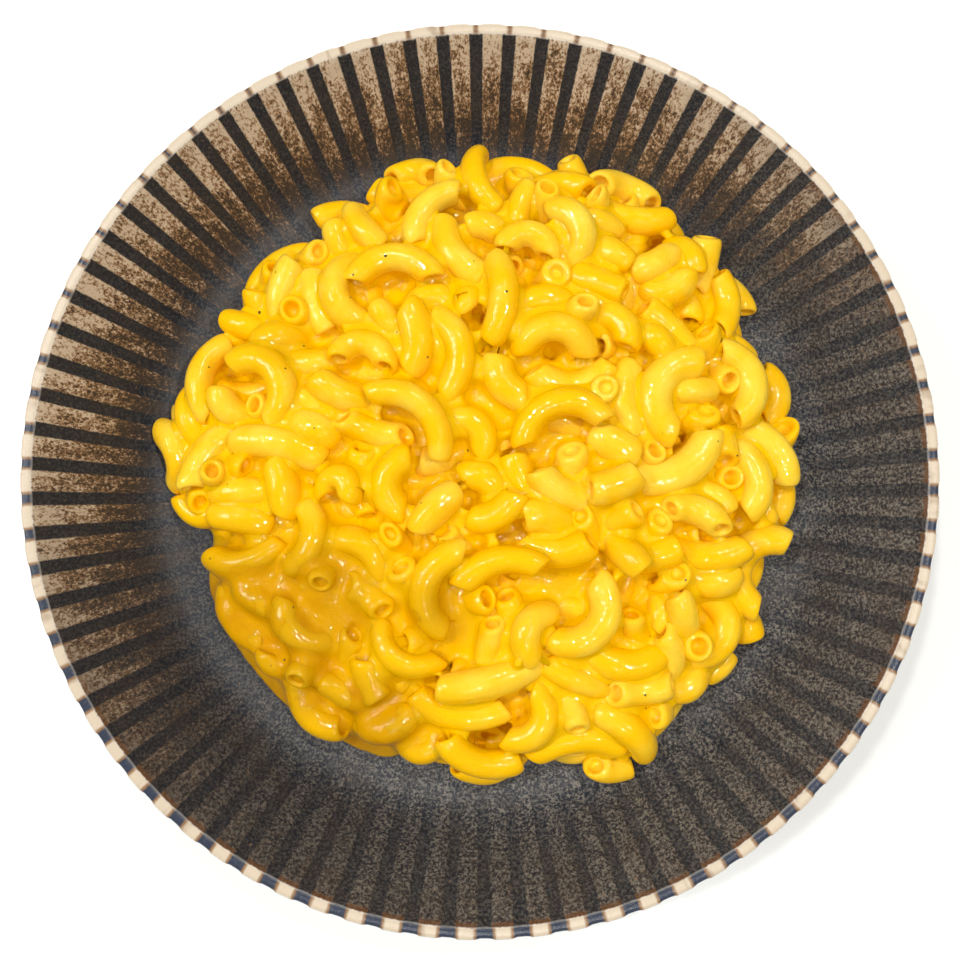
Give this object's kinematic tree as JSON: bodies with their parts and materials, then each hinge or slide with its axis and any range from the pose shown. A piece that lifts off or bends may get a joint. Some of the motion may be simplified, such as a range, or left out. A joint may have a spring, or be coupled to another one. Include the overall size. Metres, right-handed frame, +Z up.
{
  "type": "bowl of macaroni and cheese",
  "caption": "Heap of elbow macaroni in cheese sauce, served in a wide round stoneware bowl with fluted walls, a striped scalloped rim and a foot ring.",
  "frame": {"origin": "centre of the foot ring's base, on the surface that the bowl stands on", "axes": "+Z up along the bowl's axis, +X to the diner's right, +Y away from the diner"},
  "size_m": [0.24, 0.24, 0.044],
  "materials": {
    "stoneware_glaze": "dark iron glaze with speckled tan ridges and a cream and navy rim, satin",
    "cheese_sauce": "thick smooth sauce, wet gloss",
    "macaroni": "soft cooked pasta coated in sauce, wet gloss"
  },
  "bodies": {
    "root": {"bowl": "stoneware_glaze", "cheese_sauce": "cheese_sauce", "macaroni_heap": "macaroni"}
  },
  "joints": []
}
